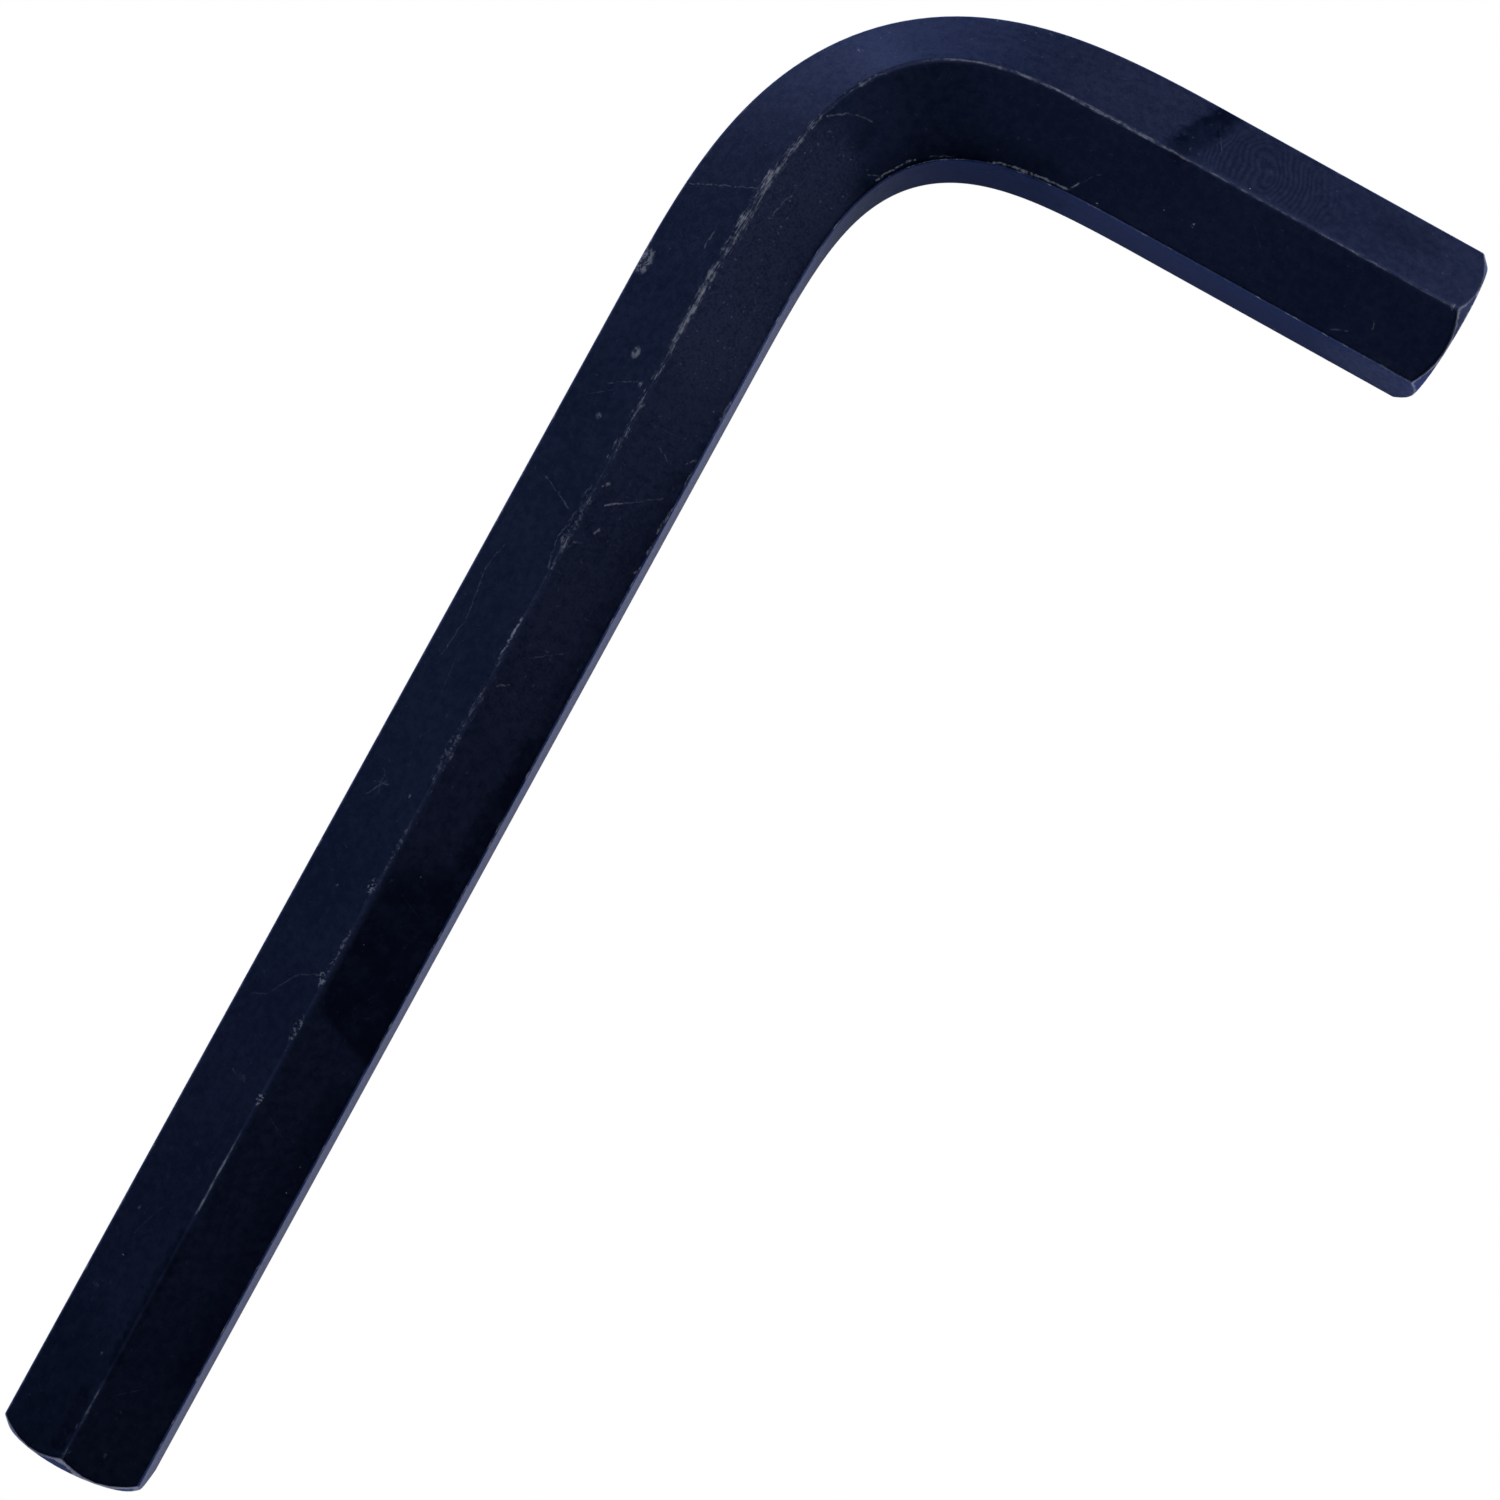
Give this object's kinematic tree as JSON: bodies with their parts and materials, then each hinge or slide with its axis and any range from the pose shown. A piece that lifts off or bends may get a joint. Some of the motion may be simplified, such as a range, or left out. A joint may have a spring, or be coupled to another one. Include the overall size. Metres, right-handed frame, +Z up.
{
  "type": "hex key",
  "caption": "L-shaped hex key of blackened steel hexagon bar, with a long arm, a short arm, an eased cold bend and chamfered ends.",
  "frame": {"origin": "on the bench, under the middle of the box round the key as it lies", "axes": "+Y along the long arm, from its free end to the bend; +X along the short arm, from the bend to its free end; +Z up from the bench. The key lies on one long edge of the hexagon, with the plane of its bend level."},
  "size_m": [0.0596, 0.1374, 0.0137],
  "materials": {
    "blackened_steel": "oiled black oxide, near black with a blue cast, scuffed pale along the edges"
  },
  "bodies": {
    "root": {"hex_key": "blackened_steel"}
  },
  "joints": []
}
